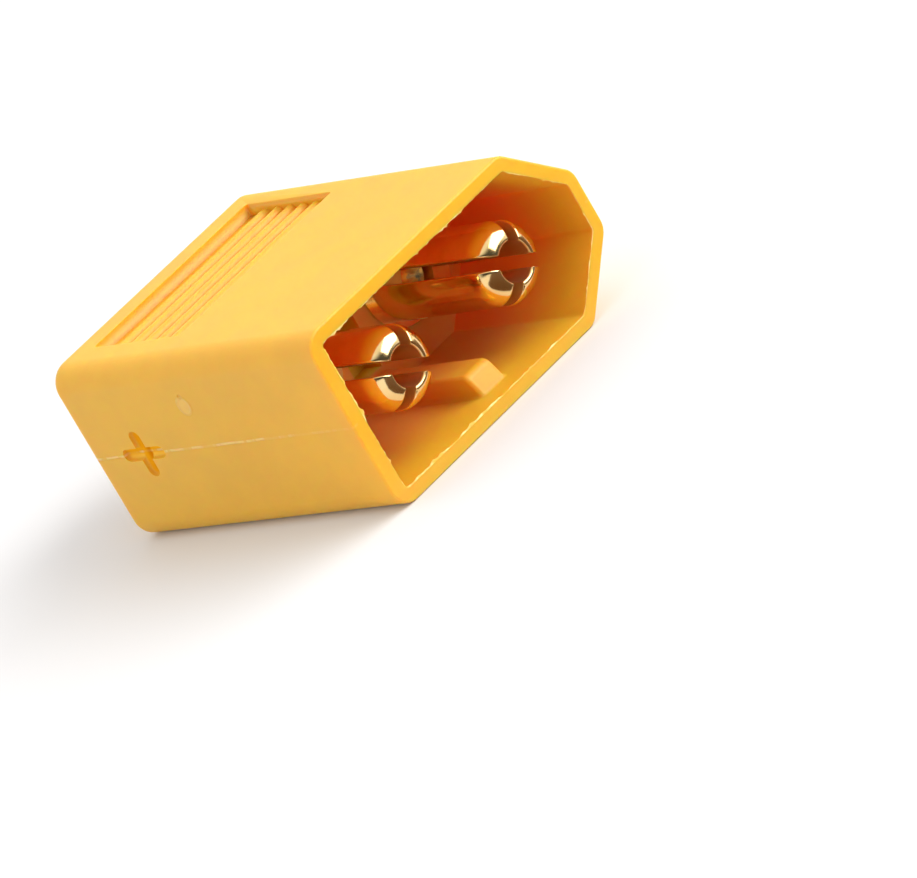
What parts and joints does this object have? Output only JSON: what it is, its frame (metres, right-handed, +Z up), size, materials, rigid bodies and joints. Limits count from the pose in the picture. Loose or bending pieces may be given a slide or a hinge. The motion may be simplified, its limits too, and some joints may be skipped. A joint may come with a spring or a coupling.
{
  "type": "two-pole power connector plug",
  "caption": "Keyed power connector plug: D-shaped moulded shroud around slit gold bullet contacts, ribbed grip panels on the large faces, open solder cups behind.",
  "frame": {"origin": "centre of the bounding box's bottom, solder cups included", "axes": "+Z up through the large faces, -Y out of the mating opening, +Y along the solder cups, -X towards the square positive end, +X towards the cut-corner negative end"},
  "size_m": [0.0158, 0.02, 0.0081],
  "materials": {
    "housing": "satin yellow-orange nylon",
    "contact": "polished gold plating"
  },
  "bodies": {
    "root": {"housing": "housing", "positive_contact": "contact", "negative_contact": "contact"}
  },
  "joints": []
}
